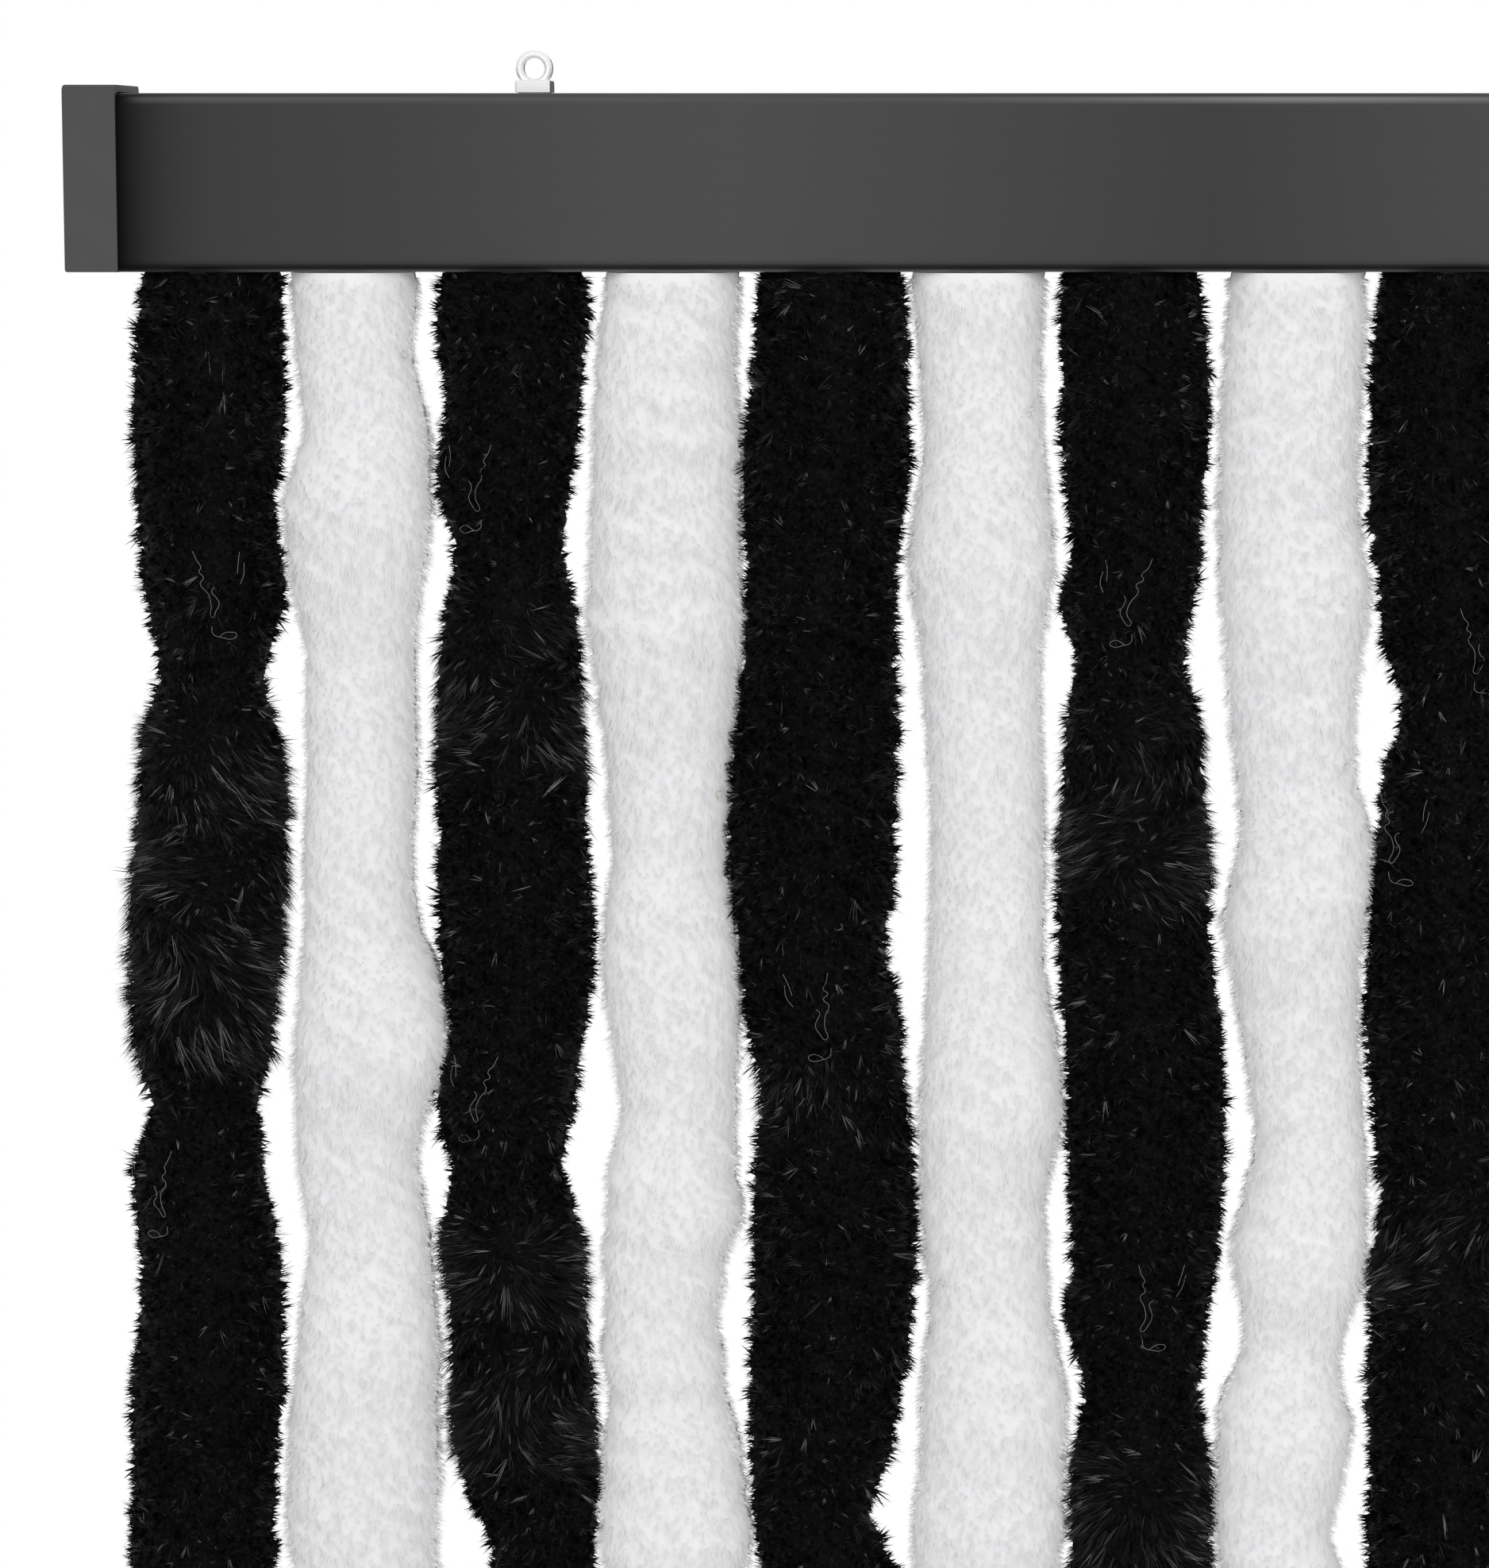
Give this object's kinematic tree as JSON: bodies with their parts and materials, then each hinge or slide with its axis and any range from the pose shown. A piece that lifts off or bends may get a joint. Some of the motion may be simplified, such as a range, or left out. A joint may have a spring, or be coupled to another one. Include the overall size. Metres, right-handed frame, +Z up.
{
  "type": "insect screen curtain",
  "caption": "Door curtain of soft chenille strands, black and white by turns, that hang from a grey head rail with end caps and hanging eyes; the strands part to let people through.",
  "frame": {"origin": "midway between the centres of the two hanging eyes, in the middle plane of the rail's depth", "axes": "+X along the rail, to the right as seen from the front; +Y to the back, towards the door frame; +Z up"},
  "size_m": [0.56, 0.0392, 1.8607],
  "materials": {
    "rail_anthracite": "satin",
    "cap_plastic": "satin",
    "hanger_nickel": "gloss",
    "glider_plastic": "satin",
    "core_yarn": "matte",
    "chenille_black": "matte",
    "chenille_white": "matte"
  },
  "bodies": {
    "rail": {"head_rail": "rail_anthracite", "end_cap_left": "cap_plastic", "end_cap_right": "cap_plastic", "glider_01": "glider_plastic", "glider_02": "glider_plastic", "glider_03": "glider_plastic", "glider_04": "glider_plastic", "glider_05": "glider_plastic", "glider_06": "glider_plastic", "glider_07": "glider_plastic", "glider_08": "glider_plastic", "glider_09": "glider_plastic", "glider_10": "glider_plastic", "glider_11": "glider_plastic", "glider_12": "glider_plastic", "glider_13": "glider_plastic", "glider_14": "glider_plastic"},
    "hanger_left": {"hanger_left": "hanger_nickel"},
    "hanger_right": {"hanger_right": "hanger_nickel"},
    "strand_01": {"strand_01_black": "chenille_black", "strand_loop_01": "core_yarn"},
    "strand_02": {"strand_02_white": "chenille_white", "strand_loop_02": "core_yarn"},
    "strand_03": {"strand_03_black": "chenille_black", "strand_loop_03": "core_yarn"},
    "strand_04": {"strand_04_white": "chenille_white", "strand_loop_04": "core_yarn"},
    "strand_05": {"strand_05_black": "chenille_black", "strand_loop_05": "core_yarn"},
    "strand_06": {"strand_06_white": "chenille_white", "strand_loop_06": "core_yarn"},
    "strand_07": {"strand_07_black": "chenille_black", "strand_loop_07": "core_yarn"},
    "strand_08": {"strand_08_white": "chenille_white", "strand_loop_08": "core_yarn"},
    "strand_09": {"strand_09_black": "chenille_black", "strand_loop_09": "core_yarn"},
    "strand_10": {"strand_10_white": "chenille_white", "strand_loop_10": "core_yarn"},
    "strand_11": {"strand_11_black": "chenille_black", "strand_loop_11": "core_yarn"},
    "strand_12": {"strand_12_white": "chenille_white", "strand_loop_12": "core_yarn"},
    "strand_13": {"strand_13_black": "chenille_black", "strand_loop_13": "core_yarn"},
    "strand_14": {"strand_14_white": "chenille_white", "strand_loop_14": "core_yarn"}
  },
  "joints": [
    {"name": "hanger_left_slide", "type": "slide", "parent": "rail", "child": "hanger_left", "axis": [1, 0, 0], "range_m": [-0.095, 0.15]},
    {"name": "hanger_right_slide", "type": "slide", "parent": "rail", "child": "hanger_right", "axis": [1, 0, 0], "range_m": [-0.15, 0.095]},
    {"name": "strand_01_swing", "type": "hinge", "parent": "rail", "child": "strand_01", "pos_m": [-0.2507, 0, -0.0533], "axis": [1, 0, 0], "range_deg": [-60, 60]},
    {"name": "strand_02_swing", "type": "hinge", "parent": "rail", "child": "strand_02", "pos_m": [-0.21213, 0, -0.0533], "axis": [1, 0, 0], "range_deg": [-60, 60]},
    {"name": "strand_03_swing", "type": "hinge", "parent": "rail", "child": "strand_03", "pos_m": [-0.17356, 0, -0.0533], "axis": [1, 0, 0], "range_deg": [-60, 60]},
    {"name": "strand_04_swing", "type": "hinge", "parent": "rail", "child": "strand_04", "pos_m": [-0.13499, 0, -0.0533], "axis": [1, 0, 0], "range_deg": [-60, 60]},
    {"name": "strand_05_swing", "type": "hinge", "parent": "rail", "child": "strand_05", "pos_m": [-0.09642, 0, -0.0533], "axis": [1, 0, 0], "range_deg": [-60, 60]},
    {"name": "strand_06_swing", "type": "hinge", "parent": "rail", "child": "strand_06", "pos_m": [-0.05785, 0, -0.0533], "axis": [1, 0, 0], "range_deg": [-60, 60]},
    {"name": "strand_07_swing", "type": "hinge", "parent": "rail", "child": "strand_07", "pos_m": [-0.01928, 0, -0.0533], "axis": [1, 0, 0], "range_deg": [-60, 60]},
    {"name": "strand_08_swing", "type": "hinge", "parent": "rail", "child": "strand_08", "pos_m": [0.01928, 0, -0.0533], "axis": [1, 0, 0], "range_deg": [-60, 60]},
    {"name": "strand_09_swing", "type": "hinge", "parent": "rail", "child": "strand_09", "pos_m": [0.05785, 0, -0.0533], "axis": [1, 0, 0], "range_deg": [-60, 60]},
    {"name": "strand_10_swing", "type": "hinge", "parent": "rail", "child": "strand_10", "pos_m": [0.09642, 0, -0.0533], "axis": [1, 0, 0], "range_deg": [-60, 60]},
    {"name": "strand_11_swing", "type": "hinge", "parent": "rail", "child": "strand_11", "pos_m": [0.13499, 0, -0.0533], "axis": [1, 0, 0], "range_deg": [-60, 60]},
    {"name": "strand_12_swing", "type": "hinge", "parent": "rail", "child": "strand_12", "pos_m": [0.17356, 0, -0.0533], "axis": [1, 0, 0], "range_deg": [-60, 60]},
    {"name": "strand_13_swing", "type": "hinge", "parent": "rail", "child": "strand_13", "pos_m": [0.21213, 0, -0.0533], "axis": [1, 0, 0], "range_deg": [-60, 60]},
    {"name": "strand_14_swing", "type": "hinge", "parent": "rail", "child": "strand_14", "pos_m": [0.2507, 0, -0.0533], "axis": [1, 0, 0], "range_deg": [-60, 60]}
  ]
}
